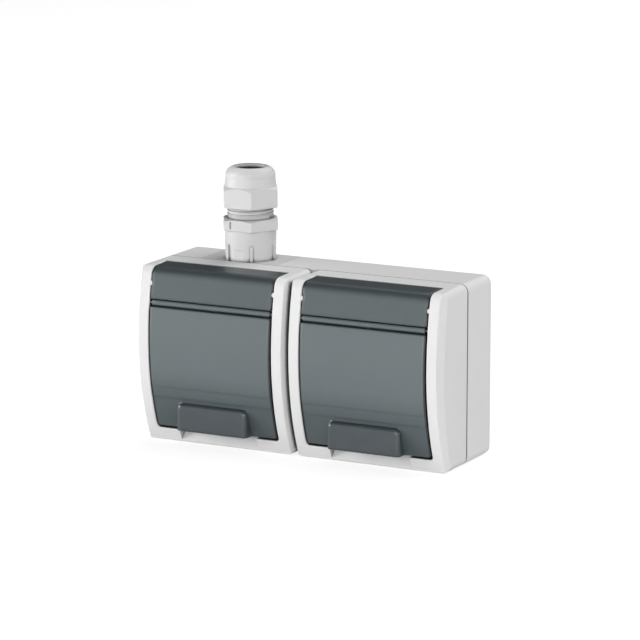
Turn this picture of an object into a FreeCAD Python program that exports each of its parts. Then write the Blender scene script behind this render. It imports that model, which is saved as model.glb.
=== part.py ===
import FreeCAD, Part
import math
import os
from FreeCAD import Vector

# Two-gang surface-mounted weatherproof socket with spring lids and a cable gland.
# All sizes are in millimetres. +X is to the right, +Z up, and the wall is the plane Y = 0.
# A "depth" is a distance in front of the wall, so y = -depth.
# A "height" is a distance above the flat bottom; the origin is halfway up, on the wall.

# Back box
unit_width = 75.0  # each gang's share of the box
box_height = 80.5
box_depth = 23.8  # wall to the seam with the covers
box_wall = 2.5
floor_depth = 3.5  # inner face of the back wall
corner_radius = 4.0
pocket_radius = 2.0
rear_relief = 1.0
rear_rim = 4.0
seam_groove_width = 0.5
seam_groove_depth = 0.8
web_window_height = 16.0
web_window_low = 30.0
web_window_depth = 10.0
wall_hole_spacing_x = 111.0
wall_hole_spacing_z = 60.0
wall_hole_radius = 2.3
wall_boss_radius = 5.0
wall_boss_rise = 0.8

# Seal between box and cover
seal_width = 1.0
seal_depth = 1.45
seal_clearance = 0.1

# Entry insert with the gland collar, slid into the top wall over the left gang
insert_width = 38.4
insert_clearance = 0.1
insert_lip = 2.0
flange_thickness = 1.9
flange_front = 20.0
collar_depth = 12.2  # axis of the collar and gland, from the wall
collar_radius_low = 11.3
collar_radius_high = 11.6
collar_height = 13.6
collar_bore = 10.0
rib_radius = 12.3
rib_width = 1.3
rib_height = 8.6
rib_count = 6
rib_first_angle = 30.0

# Cable gland
gland_across_flats = 24.0
gland_hex_height = 5.0
gland_hex_chamfer = 0.9
thread_radius = 10.0
thread_clearance = 0.08
spigot_clearance = 0.08
thread_shown = 5.1  # bare thread between the hexagon and the nut
thread_length = 7.6
finger_radius = 9.2
finger_length = 8.6
finger_slots = 8
finger_slot_width = 1.1
gland_bore = 7.7
mark_width = 0.7
mark_offset = 3.7
washer_width = 1.2
washer_thickness = 0.8
cable_bore = 5.0
rubber_clearance = 0.08
rubber_low = 3.8
rubber_top = 1.2
nut_across_flats = 23.7
nut_height = 17.8
nut_hex_height = 7.3
nut_flat_top = 9.2
nut_dome_low_radius = 11.6
nut_dome_high_radius = 11.1
nut_dome_shoulder = 13.2
nut_hole = 6.6
nut_rim_radius = 8.1
nut_rim_step = 0.4
nut_thread_length = 7.8
nut_finger_room = 0.4
nut_cone_low = 12.2
nut_cone_high = 15.2

# Cover frame
frame_gap = 0.5  # between the two covers, at the seam
frame_wall = 2.0
crown_depth = 51.2  # the front bows out furthest at the crown
crown_height = 46.0
upper_radius = 140.0
lower_radius = 108.0
top_drop = 0.6
top_front_radius = 4.5
bottom_front_radius = 1.2
side_bar = 6.65
bottom_bar = 6.2
bar_skin = 3.0
well_wall = 1.6
well_corner = 1.5
inner_edge_radius = 0.7
deck_setback = 12.7  # from the crown back to the deck
deck_thickness = 2.0
hinge_floor_drop = 4.3  # from the deck back to the hinge's floor
hinge_step_room = 5.85  # from the socket face up to the hinge's step
chamfer_inset = 1.9
chamfer_drop_low = 3.6
chamfer_drop_mid = 5.6
chamfer_drop_high = 5.0
chamfer_bulge = 0.3
scoop_width = 38.6
scoop_low = 1.2
scoop_skin = 2.6
snap_drop = 8.1  # from the box's top down to the snap
snap_radius = 1.5
snap_reach = 0.7
snap_setback = 1.6
screw_inset = 5.4  # from the opening's side to the cover screws
screw_z = 22.0  # above and below the socket's centre
screw_boss_radius = 3.0
boss_joint_depth = 22.0

# Hinge cover, the fixed dark panel above each lid
panel_gap = 0.4
panel_barrel_gap = 0.3
panel_inset = 0.15
panel_thickness = 2.0
panel_cheek = 1.5
panel_rest = 0.2

# Lid
lid_gap = 0.45
lid_low = 7.3
lid_top_gap = 0.3
lid_proud = 0.5
lid_thickness = 2.2
lid_skirt = 5.5
lid_skirt_wall = 1.6
lid_corner = 1.5
lid_edge_radius = 0.8
step_heights = (26.5, 21.5)
step_depth = 0.25
hinge_setback = 2.75  # from the crown back to the pin
hinge_rise = 1.4  # from the hinge's step up to the pin
barrel_radius = 1.5
barrel_end_gap = 1.2
handle_half_width = 18.0
handle_high = 19.4
handle_setback = 1.2  # from the crown back to the pull's front
handle_draft = 0.7
handle_radius = 2.2
handle_edge_radius = 1.5
lid_ring_wall = 1.6

# Hinge pin and spring
pin_radius = 0.55
pin_running_clearance = 0.05
pin_seat_clearance = 0.02
pin_beyond_wall = 0.2
spring_wire_radius = 0.25
spring_turns = 5
spring_pitch = 0.56
spring_clearance = 0.08
spring_leg_fixed = 12.5
spring_leg_lid = 3.0
spring_leg_room = 0.3
spring_window = 4.6

# Lid seal, between the lid's round wall and the rim of the socket face
lid_seal_wall = 0.7
lid_seal_thickness = 1.2
lid_seal_grip = 0.35
lid_seal_gap = 0.1

# Socket insert
socket_height = 34.75
face_proud = 3.9  # from the deck out to the rim
recess_radius = 19.5
recess_depth = 17.5
face_wall = 2.5
face_bottom = 2.0
face_edge = 0.8
face_flange_radius = 24.8
face_flange = 2.0
face_gap = 0.2
pin_spacing = 19.0
pin_hole_radius = 2.8
guide_width = 5.4
guide_reach = 2.0
guide_setback = 2.5
centre_boss_radius = 4.6
centre_boss_rise = 1.2

# Socket base and contacts
base_width = 46.0
base_tall = 40.0
base_back = 4.4
base_corner = 5.0
base_gap = 0.2
base_screw_x = 18.5
base_screw_z = 14.5
base_screw_sink = 7.2  # from the base's front back to the seat of its screws
contact_bore = 2.3
contact_wall = 0.7
contact_length = 15.0
contact_slot = 1.2
contact_clearance = 0.3
pocket_back = 5.6
terminal_x = 19.0
terminal_size = 6.0
terminal_length = 8.0
terminal_wire_radius = 1.4
earth_width = 4.8
earth_thickness = 0.8
earth_reach = 19.2
earth_bow = 2.0
earth_bow_rise = 8.6  # from the recess floor out to the bow
earth_end_rise = 14.1
earth_setback = 1.9
earth_terminal_z = 12.5

# Screws
screw_radius = 1.45
screw_clearance_radius = 1.75
screw_pilot_radius = 1.5
screw_head_radius = 2.8
screw_head_height = 1.6
screw_slot = 0.8
screw_slot_depth = 0.7
cover_screw_length = 26.5
base_screw_length = 13.0
centre_screw_length = 15.0
terminal_screw_radius = 1.3
terminal_screw_head = 2.1
terminal_screw_length = 7.0

# Worked out from the values above
box_width = 2 * unit_width
unit_offset = unit_width / 2
pocket_half = unit_offset - box_wall
frame_half = (unit_width - frame_gap) / 2
opening_half = frame_half - side_bar
snap_height = box_height - snap_drop
screw_x = opening_half - screw_inset
deck_front = crown_depth - deck_setback
deck_back = deck_front - deck_thickness
hinge_floor = deck_front - hinge_floor_drop
hinge_depth = crown_depth - hinge_setback
handle_depth = crown_depth - handle_setback
lid_half = opening_half - lid_gap
barrel_half = opening_half - barrel_end_gap
face_radius = recess_radius + face_wall
hinge_step_height = socket_height + face_radius + hinge_step_room
hinge_height = hinge_step_height + hinge_rise
lid_high = hinge_step_height - lid_top_gap
panel_low = hinge_height + barrel_radius + panel_barrel_gap
face_front = deck_front + face_proud
lid_ring_radius = recess_radius + face_wall / 2
recess_floor = face_front - recess_depth
face_back = recess_floor - face_bottom
base_front = face_back - base_gap
base_screw_head_depth = base_front - base_screw_sink
earth_bow_depth = recess_floor + earth_bow_rise
earth_end_depth = recess_floor + earth_end_rise
lid_seal_front = face_front + lid_seal_gap
lid_ring_end = lid_seal_front + lid_seal_thickness
hex_low = box_height + collar_height
hex_high = hex_low + gland_hex_height
nut_low = hex_high + thread_shown
beyond = 5.0  # how far a cutting solid reaches past what it cuts


def block(x0, x1, depth0, depth1, height0, height1):
    corner = Vector(x0, -depth1, height0)
    return Part.makeBox(x1 - x0, depth1 - depth0, height1 - height0, corner)


def rod(x, height, radius, depth0, depth1):
    """Cylinder that points out of the wall."""
    return Part.makeCylinder(radius, depth1 - depth0, Vector(x, -depth0, height), Vector(0, -1, 0))


def polygon(points):
    return Part.Face(Part.makePolygon(points + [points[0]]))


def rounded_plate(half_x, height0, height1, radius, depth0, depth1):
    """Plate parallel to the wall, centred on X = 0, with its four corners rounded."""
    plate = block(-half_x, half_x, depth0, depth1, height0, height1)
    corners = [e for e in plate.Edges if abs(e.Length - (depth1 - depth0)) < 1e-6 and along_y(e)]
    return plate.makeFillet(radius, corners)


def along_y(edge):
    ends = edge.Vertexes
    step = ends[-1].Point - ends[0].Point
    return abs(step.x) < 1e-6 and abs(step.z) < 1e-6


def edges_inside(shape, depths, heights, xs):
    """Edges whose box lies inside the given spans of depth, height and x."""
    found = []
    for edge in shape.Edges:
        box = edge.BoundBox
        fits_x = xs[0] <= box.XMin and box.XMax <= xs[1]
        fits_y = -depths[1] <= box.YMin and box.YMax <= -depths[0]
        fits_z = heights[0] <= box.ZMin and box.ZMax <= heights[1]
        if fits_x and fits_y and fits_z:
            found.append(edge)
    return found


def turned(points, centre, axis):
    """Solid turned from a closed profile of (radius, distance along the axis) points."""
    side = Vector(1, 0, 0)
    profile = polygon([centre + side * r + axis * t for r, t in points])
    return profile.revolve(centre, axis, 360)


def hexagon(across_flats, z0, z1):
    """Hexagonal bar on the Z axis with two flats parallel to the wall."""
    corner = across_flats / 2 / math.cos(math.radians(30))
    angles = [math.radians(30 + 60 * k) for k in range(6)]
    points = [Vector(corner * math.sin(a), corner * math.cos(a), z0) for a in angles]
    return polygon(points).extrude(Vector(0, 0, z1 - z0))


def around(radius, inner, z0, z1):
    tube = Part.makeCylinder(radius, z1 - z0, Vector(0, 0, z0))
    return tube.cut(Part.makeCylinder(inner, z1 - z0 + 2 * beyond, Vector(0, 0, z0 - beyond)))


# The bowed front: two arcs that share a tangent at the crown
def front_depth(height, offset=0.0):
    radius = upper_radius if height > crown_height else lower_radius
    reach = math.sqrt((radius + offset) ** 2 - (height - crown_height) ** 2)
    return crown_depth - radius + reach


def front_point(height, offset):
    return Vector(0, -front_depth(height, offset), height)


def front_arcs(low, high, offset):
    stops = [low, high]
    if low < crown_height < high:
        stops = [low, crown_height, high]
    arcs = []
    for start, end in zip(stops, stops[1:]):
        ends = [front_point(h, offset) for h in (start, (start + end) / 2, end)]
        arcs.append(Part.Arc(*ends).toShape())
    return arcs


def bowed_block(half_x, low, high, back, offset, back_high=None):
    """Block whose front follows the bow, pushed out by offset; its top may rise to the back."""
    top = high if back_high is None else back_high
    front_low = front_point(low, offset)
    front_high = front_point(high, offset)
    back_low = Vector(0, -back, low)
    back_top = Vector(0, -back, top)
    edges = [Part.makeLine(back_low, front_low)]
    edges += front_arcs(low, high, offset)
    edges.append(Part.makeLine(front_high, back_top))
    edges.append(Part.makeLine(back_top, back_low))
    face = Part.Face(Part.Wire(edges))
    face.translate(Vector(-half_x, 0, 0))
    return face.extrude(Vector(2 * half_x, 0, 0))


# Back box
def seal_ring(grow_out, grow_in, depth0, depth1):
    """Ring round one pocket of the box, between two distances outside the pocket's wall."""
    outer = rounded_plate(
        pocket_half + grow_out,
        box_wall - grow_out,
        box_height - box_wall + grow_out,
        pocket_radius + grow_out,
        depth0,
        depth1,
    )
    inner = rounded_plate(
        pocket_half + grow_in,
        box_wall - grow_in,
        box_height - box_wall + grow_in,
        pocket_radius + grow_in,
        depth0 - beyond,
        depth1 + beyond,
    )
    return outer.cut(inner)


def rim_cuts():
    """Seal rebates round both pockets and the fine groove along the seam, cut from the rim."""
    rebate_depth = seal_depth + seal_clearance
    rebate_width = seal_width + 2 * seal_clearance
    cuts = []
    for side in (-1, 1):
        ring = seal_ring(rebate_width, -pocket_radius / 2, box_depth - rebate_depth, box_depth + beyond)
        cuts.append(ring.translated(Vector(side * unit_offset, 0, 0)))
    low = box_depth - seam_groove_width
    half = box_width / 2
    shell = block(-half - beyond, half + beyond, low, box_depth + beyond, -beyond, box_height + beyond)
    core = rounded_plate(
        half - seam_groove_depth,
        seam_groove_depth,
        box_height - seam_groove_depth,
        corner_radius - seam_groove_depth,
        low - beyond,
        box_depth + 2 * beyond,
    )
    cuts.append(shell.cut(core))
    return cuts


def wall_hole_places():
    middle = box_height / 2
    for x in (-wall_hole_spacing_x / 2, wall_hole_spacing_x / 2):
        for z in (middle - wall_hole_spacing_z / 2, middle + wall_hole_spacing_z / 2):
            yield x, z


def cover_screw_places():
    for x in (-screw_x, screw_x):
        for z in (socket_height - screw_z, socket_height + screw_z):
            yield x, z


def base_screw_places():
    return ((-base_screw_x, socket_height + base_screw_z), (base_screw_x, socket_height - base_screw_z))


def insert_cutout(clearance):
    """The slot in the top wall for the entry insert; it runs from the wall to the seam."""
    half = insert_width / 2 - clearance
    low = box_height - box_wall
    return block(-unit_offset - half, -unit_offset + half, 0, box_depth, low, box_height)


def back_box():
    half = box_width / 2
    box = rounded_plate(half, 0, box_height, corner_radius, 0, box_depth)
    relief = rounded_plate(
        half - rear_rim, rear_rim, box_height - rear_rim, pocket_radius, -beyond, rear_relief
    )
    for x, z in wall_hole_places():
        relief = relief.cut(rod(x, z, wall_boss_radius, -2 * beyond, rear_relief + beyond))
    box = box.cut(relief)
    pocket = rounded_plate(
        pocket_half, box_wall, box_height - box_wall, pocket_radius, floor_depth, box_depth + beyond
    )
    posts = []
    pilots = []
    for side in (-1, 1):
        move = Vector(side * unit_offset, 0, 0)
        box = box.cut(pocket.translated(move))
        for x, z in cover_screw_places():
            posts.append(rod(x, z, screw_boss_radius, floor_depth, boss_joint_depth).translated(move))
            pilot = rod(x, z, screw_pilot_radius, deck_front - cover_screw_length - 1, boss_joint_depth + 1)
            pilots.append(pilot.translated(move))
        for x, z in base_screw_places():
            posts.append(rod(x, z, screw_boss_radius, floor_depth, base_back).translated(move))
            pilot = rod(x, z, screw_pilot_radius, rear_relief + 0.8, base_back + 1)
            pilots.append(pilot.translated(move))
    for x, z in wall_hole_places():
        posts.append(rod(x, z, wall_boss_radius, floor_depth, floor_depth + wall_boss_rise))
        pilots.append(rod(x, z, wall_hole_radius, -beyond, floor_depth + beyond))
    box = box.fuse(posts)
    window_front = floor_depth + web_window_depth
    window_high = web_window_low + web_window_height
    web = 2 * box_wall
    pilots.append(block(-web, web, floor_depth, window_front, web_window_low, window_high))
    pilots.append(insert_cutout(0))
    return box.cut(pilots + rim_cuts()).removeSplitter()


def box_seal():
    front = box_depth - 0.05
    return seal_ring(seal_width + seal_clearance, seal_clearance, front - seal_depth, front)


# Entry insert and cable gland, built on the gland's axis and moved to it
def on_gland_axis(shape):
    return shape.translated(Vector(-unit_offset, -collar_depth, 0))


def entry_rib(angle):
    """Upright rib that leans into the collar at its top."""
    low = box_height
    high = box_height + rib_height
    inner = collar_radius_low - 1
    slope = rib_radius - inner
    points = [(inner, low), (rib_radius, low), (rib_radius, high - slope), (inner, high)]
    face = polygon([Vector(-rib_width / 2, -r, z) for r, z in points])
    rib = face.extrude(Vector(rib_width, 0, 0))
    rib.rotate(Vector(0, 0, 0), Vector(0, 0, 1), angle)
    return rib


def entry_insert():
    plate = insert_cutout(insert_clearance)
    low = box_height - box_wall - insert_clearance - flange_thickness
    half = insert_width / 2 + insert_lip
    lip = block(
        -unit_offset - half,
        -unit_offset + half,
        floor_depth + insert_clearance,
        flange_front,
        low,
        low + flange_thickness,
    )
    neck_half = insert_width / 2 - insert_clearance
    neck = block(
        -unit_offset - neck_half,
        -unit_offset + neck_half,
        floor_depth + insert_clearance,
        flange_front,
        low,
        box_height - 1,
    )
    collar = Part.makeCone(collar_radius_low, collar_radius_high, collar_height, Vector(0, 0, box_height))
    ribs = [entry_rib(rib_first_angle + k * 360 / rib_count) for k in range(rib_count)]
    insert = plate.fuse([lip, neck, on_gland_axis(collar)] + [on_gland_axis(rib) for rib in ribs])
    bore = Part.makeCylinder(collar_bore, 2 * box_height, Vector(0, 0, 0))
    return insert.cut([on_gland_axis(bore)] + rim_cuts()).removeSplitter()


def gland_body():
    spigot_low = box_height - box_wall + spigot_clearance
    thread_top = hex_high + thread_length
    finger_top = thread_top + finger_length
    corner = gland_across_flats / 2 / math.cos(math.radians(30)) + 0.1
    flat = gland_across_flats / 2
    envelope = turned(
        [
            (0, hex_low),
            (corner - gland_hex_chamfer / 2, hex_low),
            (corner, hex_low + gland_hex_chamfer / 2),
            (corner, hex_high - gland_hex_chamfer),
            (flat - gland_hex_chamfer / 2, hex_high),
            (0, hex_high),
        ],
        Vector(0, 0, 0),
        Vector(0, 0, 1),
    )
    body = hexagon(gland_across_flats, hex_low, hex_high).common(envelope)
    spigot_radius = collar_bore - spigot_clearance
    spigot = Part.makeCylinder(spigot_radius, hex_low - spigot_low, Vector(0, 0, spigot_low))
    thread = Part.makeCylinder(thread_radius, thread_length, Vector(0, 0, hex_high))
    fingers = Part.makeCylinder(finger_radius, finger_length, Vector(0, 0, thread_top))
    body = body.fuse([spigot, thread, fingers])
    cuts = [Part.makeCylinder(gland_bore, finger_top, Vector(0, 0, spigot_low - 1))]
    for k in range(finger_slots // 2):
        slot = Part.makeBox(
            4 * finger_radius,
            finger_slot_width,
            finger_length,
            Vector(-2 * finger_radius, -finger_slot_width / 2, thread_top + 1),
        )
        slot.rotate(Vector(0, 0, 0), Vector(0, 0, 1), (k + 0.5) * 360 / finger_slots)
        cuts.append(slot)
    groove_high = hex_low + washer_thickness
    cuts.append(around(thread_radius + washer_width, spigot_radius, hex_low - 1, groove_high))
    cuts.append(
        Part.makeBox(
            mark_width,
            mark_width,
            gland_hex_height * 0.6,
            Vector(-mark_offset - mark_width / 2, -flat - mark_width / 2, hex_low + 1),
        )
    )
    return on_gland_axis(body.cut(cuts).removeSplitter())


def gland_washer():
    outer = thread_radius + washer_width - spigot_clearance
    return on_gland_axis(around(outer, collar_bore, hex_low, hex_low + washer_thickness - 0.05))


def gland_seal():
    finger_top = hex_high + thread_length + finger_length
    low = hex_high + rubber_low
    high = finger_top + rubber_top
    outer = gland_bore - rubber_clearance
    profile = [
        (cable_bore, low),
        (outer, low),
        (outer, finger_top),
        (outer - rubber_top, high),
        (cable_bore + rubber_top, high),
        (cable_bore, high - rubber_top),
    ]
    return on_gland_axis(turned(profile, Vector(0, 0, 0), Vector(0, 0, 1)))


def nut_outside():
    """Turned outline that cuts the hexagon into arcs and makes the dome above it."""
    corner = nut_across_flats / 2 / math.cos(math.radians(30)) + 0.1
    top = nut_low + nut_height
    shoulder = nut_low + nut_dome_shoulder
    axis = Vector(0, 0, 0)
    low_edge = [
        Vector(0, 0, nut_low),
        Vector(corner - 0.5, 0, nut_low),
        Vector(corner, 0, nut_low + 0.5),
        Vector(corner, 0, nut_low + nut_hex_height),
        Vector(nut_dome_low_radius, 0, nut_low + nut_flat_top),
        Vector(nut_dome_high_radius, 0, shoulder),
    ]
    edges = [Part.makeLine(a, b) for a, b in zip(low_edge, low_edge[1:])]
    bend = math.radians(45)
    wide = nut_dome_high_radius - nut_rim_radius
    tall = top - shoulder
    mid = Vector(nut_rim_radius + wide * math.cos(bend), 0, shoulder + tall * math.sin(bend))
    edges.append(Part.Arc(low_edge[-1], mid, Vector(nut_rim_radius, 0, top)).toShape())
    edges.append(Part.makeLine(Vector(nut_rim_radius, 0, top), Vector(0, 0, top)))
    edges.append(Part.makeLine(Vector(0, 0, top), low_edge[0]))
    return Part.Face(Part.Wire(edges)).revolve(axis, Vector(0, 0, 1), 360)


def gland_nut():
    top = nut_low + nut_height
    outside = nut_outside()
    bar = hexagon(nut_across_flats, nut_low, nut_low + nut_flat_top + 0.5)
    dome = Part.makeCylinder(nut_dome_low_radius, nut_height, Vector(0, 0, nut_low))
    nut = outside.common(bar.fuse(dome))
    finger_room = finger_radius + nut_finger_room
    inside = turned(
        [
            (0, nut_low - 1),
            (thread_radius + thread_clearance, nut_low - 1),
            (thread_radius + thread_clearance, nut_low + nut_thread_length),
            (finger_room, nut_low + nut_thread_length),
            (finger_room, nut_low + nut_cone_low),
            (nut_hole, nut_low + nut_cone_high),
            (nut_hole, top - nut_rim_step),
            (nut_rim_radius - 0.5, top - nut_rim_step),
            (nut_rim_radius - 0.5, top + 1),
            (0, top + 1),
        ],
        Vector(0, 0, 0),
        Vector(0, 0, 1),
    )
    return on_gland_axis(nut.cut(inside).removeSplitter())


# Cover frame
def side_chamfer():
    """Soft wedge along the right front edge, which follows the bow and deepens to the middle."""
    wires = []
    spans = (
        (-beyond, chamfer_drop_low),
        (crown_height, chamfer_drop_mid),
        (box_height + beyond, chamfer_drop_high),
    )
    for (low, drop_low), (high, drop_high) in zip(spans, spans[1:]):
        for share in (0, 0.5):
            height = low + (high - low) * share
            wires.append(chamfer_section(height, drop_low + (drop_high - drop_low) * share))
    wires.append(chamfer_section(*spans[-1]))
    return Part.makeLoft(wires, True, False)


def chamfer_section(height, drop):
    front = front_depth(height)
    on_front = Vector(frame_half - chamfer_inset, -front, height)
    on_side = Vector(frame_half, -(front - drop), height)
    run = on_side - on_front
    start = on_front - run * 0.3
    end = on_side + run * 0.3
    out = Vector(-run.y, run.x, 0).normalize()
    if out.x < 0:
        out = out * -1
    middle = (on_front + on_side) * 0.5 + out * chamfer_bulge
    far = Vector(frame_half + beyond, -(front + beyond), height)
    sides = [Part.Arc(start, middle, end).toShape(), Part.makeLine(end, far), Part.makeLine(far, start)]
    return Part.Wire(sides)


def frame_outside():
    top = box_height - top_drop
    depths = (box_depth + 1, crown_depth)
    width = (-frame_half - 1, frame_half + 1)
    body = bowed_block(frame_half, 0, top, box_depth, 0, box_height)
    top_edge = edges_inside(body, depths, (top - 0.01, top + 0.01), width)
    body = body.makeFillet(top_front_radius, [e for e in top_edge if e.Length > frame_half])
    low_edge = edges_inside(body, depths, (-0.01, 0.01), width)
    body = body.makeFillet(bottom_front_radius, [e for e in low_edge if e.Length > frame_half])
    corners = rounded_plate(
        frame_half, 0, box_height, corner_radius - frame_gap / 2, box_depth - 1, crown_depth + 1
    )
    body = body.common(corners)
    wedge = side_chamfer()
    return body.cut([wedge, wedge.mirror(Vector(0, 0, 0), Vector(1, 0, 0))])


def frame_cavity():
    """Hollow behind the moulding: it leaves the skin, the well's walls and the deck."""
    low = frame_wall
    high = box_height - frame_wall
    hollow = bowed_block(frame_half - frame_wall, low, high, box_depth - 1, -bar_skin)
    step_low = hinge_step_height - frame_wall
    half = opening_half + well_wall
    far = crown_depth + beyond
    lower_well = block(-half, half, deck_back, far, bottom_bar - well_wall, box_height)
    upper_well = block(-half, half, hinge_floor - frame_wall, far, step_low, box_height)
    scoop_half = scoop_width / 2 + well_wall
    scoop_back = block(-scoop_half, scoop_half, deck_front - scoop_skin, far, 0, bottom_bar)
    return hollow.cut([lower_well, upper_well, scoop_back])


def frame_openings():
    far = crown_depth + beyond
    high = box_height + beyond
    lower = rounded_plate(opening_half, bottom_bar, high, well_corner, deck_front, far)
    upper = block(-opening_half, opening_half, hinge_floor, far, hinge_step_height, high)
    half = scoop_width / 2
    scoop_points = [
        (front_depth(scoop_low), scoop_low),
        (deck_front, bottom_bar),
        (deck_front, bottom_bar + well_corner),
        (far, bottom_bar + well_corner),
        (far, scoop_low),
    ]
    scoop = polygon([Vector(-half, -d, h) for d, h in scoop_points]).extrude(Vector(2 * half, 0, 0))
    return [lower, upper, scoop]


def snap_boss(side, radius, reach):
    """Small round boss on the well's side wall that the hinge cover snaps behind."""
    depth = front_depth(snap_height) - snap_setback
    start = side * (opening_half - reach)
    return Part.makeCylinder(
        radius, reach + well_wall / 2, Vector(start, -depth, snap_height), Vector(side, 0, 0)
    )


def inner_front_edges(frame):
    """The bowed edges where the front of the side bars meets the well."""
    far = crown_depth + beyond
    edges = []
    for x in (-opening_half, opening_half):
        span = (x - 0.01, x + 0.01)
        edges += edges_inside(frame, (deck_front + 1, far), (bottom_bar + 0.1, box_height), span)
    return edges


def cover_frame():
    frame = frame_outside().cut(frame_cavity())
    frame = frame.cut(frame_openings())
    frame = frame.makeFillet(inner_edge_radius, inner_front_edges(frame))
    bosses = []
    cuts = [rod(0, socket_height, face_radius + face_gap, deck_back - 1, deck_front + 1)]
    for x, z in cover_screw_places():
        bosses.append(rod(x, z, screw_boss_radius, boss_joint_depth + 0.1, deck_back))
        cuts.append(rod(x, z, screw_clearance_radius, boss_joint_depth - 1, deck_front + 1))
    for side in (-1, 1):
        bosses.append(snap_boss(side, snap_radius, snap_reach))
        hole = Part.makeCylinder(
            pin_radius + pin_seat_clearance,
            well_wall + 2,
            Vector(side * (opening_half - 1), -hinge_depth, hinge_height),
            Vector(side, 0, 0),
        )
        cuts.append(hole)
    return frame.fuse(bosses).cut(cuts).removeSplitter()


# Hinge cover
def hinge_cover():
    half = opening_half - panel_gap
    high = box_height - top_drop - panel_inset
    back = hinge_floor + panel_rest
    slope = top_drop * (front_depth(high) - back) / (front_depth(high) - box_depth)
    outer = bowed_block(half, panel_low, high, back, -panel_inset, high + slope)
    depths = (front_depth(high) - 2 * top_front_radius, crown_depth)
    edge = edges_inside(outer, depths, (high - 0.01, high + 0.01), (-half - 1, half + 1))
    outer = outer.makeFillet(top_front_radius - panel_inset, [e for e in edge if e.Length > half])
    inner_half = half - panel_cheek
    inner_high = high - panel_thickness
    skin = -panel_inset - panel_thickness
    inner = bowed_block(inner_half, panel_low - 1, inner_high, back - 1, skin, inner_high + slope)
    panel = outer.cut(inner)
    notches = [snap_boss(side, snap_radius + 0.2, snap_reach + 0.1) for side in (-1, 1)]
    return panel.cut(notches).removeSplitter()


# Lid
def handle():
    """Pull moulded on the lid's lower edge: upright front, rounded all round."""
    low = lid_low
    back = front_depth(low) - lid_thickness
    narrow = handle_half_width - handle_draft
    body = block(-handle_half_width, handle_half_width, back, handle_depth, low, handle_high)
    slant = beyond + handle_depth - back
    for side in (-1, 1):
        points = [
            Vector(side * handle_half_width, -back, low - 1),
            Vector(side * narrow, -handle_depth, low - 1),
            Vector(side * narrow, -(handle_depth + slant), low - 1),
            Vector(side * (handle_half_width + slant), -(handle_depth + slant), low - 1),
            Vector(side * (handle_half_width + slant), -back, low - 1),
        ]
        body = body.cut(polygon(points).extrude(Vector(0, 0, handle_high - low + 2)))
    width = (-lid_half, lid_half)
    top = (handle_high - 0.01, handle_high + 0.01)
    uprights = edges_inside(body, (back - 1, handle_depth + 1), top, width)
    uprights = [e for e in uprights if e.Length < handle_half_width]
    body = body.makeFillet(handle_radius, [e for e in uprights if e.BoundBox.YLength > 1])
    face = (handle_depth - 0.01, handle_depth + 0.01)
    front = edges_inside(body, face, (low - 1, handle_high + 1), width)
    front = [e for e in front if e.BoundBox.ZMax > low + 0.01]
    body = body.makeFillet(handle_edge_radius, front)
    inside = bowed_block(lid_half, low - 1, lid_high, deck_front - beyond, lid_proud - lid_thickness / 2)
    return body.cut(inside)


def lid_shell():
    far_back = deck_front - beyond
    body = bowed_block(lid_half, lid_low, lid_high, far_back, lid_proud)
    corners = [e for e in body.Edges if along_y(e) and e.BoundBox.ZMax < lid_low + 0.01]
    body = body.makeFillet(lid_corner, corners)
    width = (-lid_half - 1, lid_half + 1)
    rims = edges_inside(body, (deck_front, crown_depth + beyond), (lid_low - 1, lid_high + 1), width)
    rims = [e for e in rims if not along_y(e) and e.BoundBox.ZMin < lid_high - 0.01]
    body = body.makeFillet(lid_edge_radius, rims)
    behind = bowed_block(lid_half + 1, lid_low - 1, lid_high + 1, far_back - 1, lid_proud - lid_skirt)
    body = body.cut(behind)
    for count, height in enumerate(step_heights):
        level = lid_proud - (count + 1) * step_depth
        layer = bowed_block(lid_half + 1, lid_low - 1, height, far_back, lid_proud + beyond)
        layer = layer.cut(bowed_block(lid_half + 2, lid_low - 2, height + 1, far_back - 1, level))
        body = body.cut(layer)
    return body


def lid_ring():
    """Round wall inside the lid that carries the seal."""
    far = crown_depth + beyond
    tube = rod(0, socket_height, lid_ring_radius + lid_ring_wall / 2, lid_ring_end, far)
    tube = tube.cut(rod(0, socket_height, lid_ring_radius - lid_ring_wall / 2, lid_ring_end - 1, far + 1))
    inside = bowed_block(lid_half, 0, lid_high, lid_ring_end - 1, lid_proud - lid_thickness + 0.3)
    return tube.common(inside)


def lid():
    body = lid_shell()
    hollow = bowed_block(
        lid_half - lid_skirt_wall,
        lid_low + lid_skirt_wall,
        lid_high - lid_skirt_wall,
        deck_front - beyond - 1,
        lid_proud - lid_thickness,
    )
    body = body.cut(hollow)
    axis_start = Vector(-barrel_half, -hinge_depth, hinge_height)
    barrel = Part.makeCylinder(barrel_radius, 2 * barrel_half, axis_start, Vector(1, 0, 0))
    neck = block(
        -barrel_half, barrel_half, hinge_depth - barrel_radius, hinge_depth, lid_high - 0.5, hinge_height
    )
    body = body.fuse([barrel, neck, lid_ring(), handle()])
    reach = Vector(-barrel_half - 1, -hinge_depth, hinge_height)
    bore = Part.makeCylinder(
        pin_radius + pin_running_clearance, 2 * barrel_half + 2, reach, Vector(1, 0, 0)
    )
    window_half = spring_window / 2
    coil_room = spring_outer_radius() + spring_clearance
    window_high = hinge_height + beyond
    window = block(-window_half, window_half, hinge_depth - beyond, hinge_depth, lid_high, window_high)
    room = Part.makeCylinder(
        coil_room, spring_window, Vector(-window_half, -hinge_depth, hinge_height), Vector(1, 0, 0)
    )
    leg_x, leg_depth = spring_lid_leg_place()
    leg_hole = Part.makeCylinder(
        spring_wire_radius + spring_leg_room, beyond, Vector(leg_x, -leg_depth, lid_high - 2)
    )
    return body.cut([bore, window, room, leg_hole]).removeSplitter()


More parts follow.
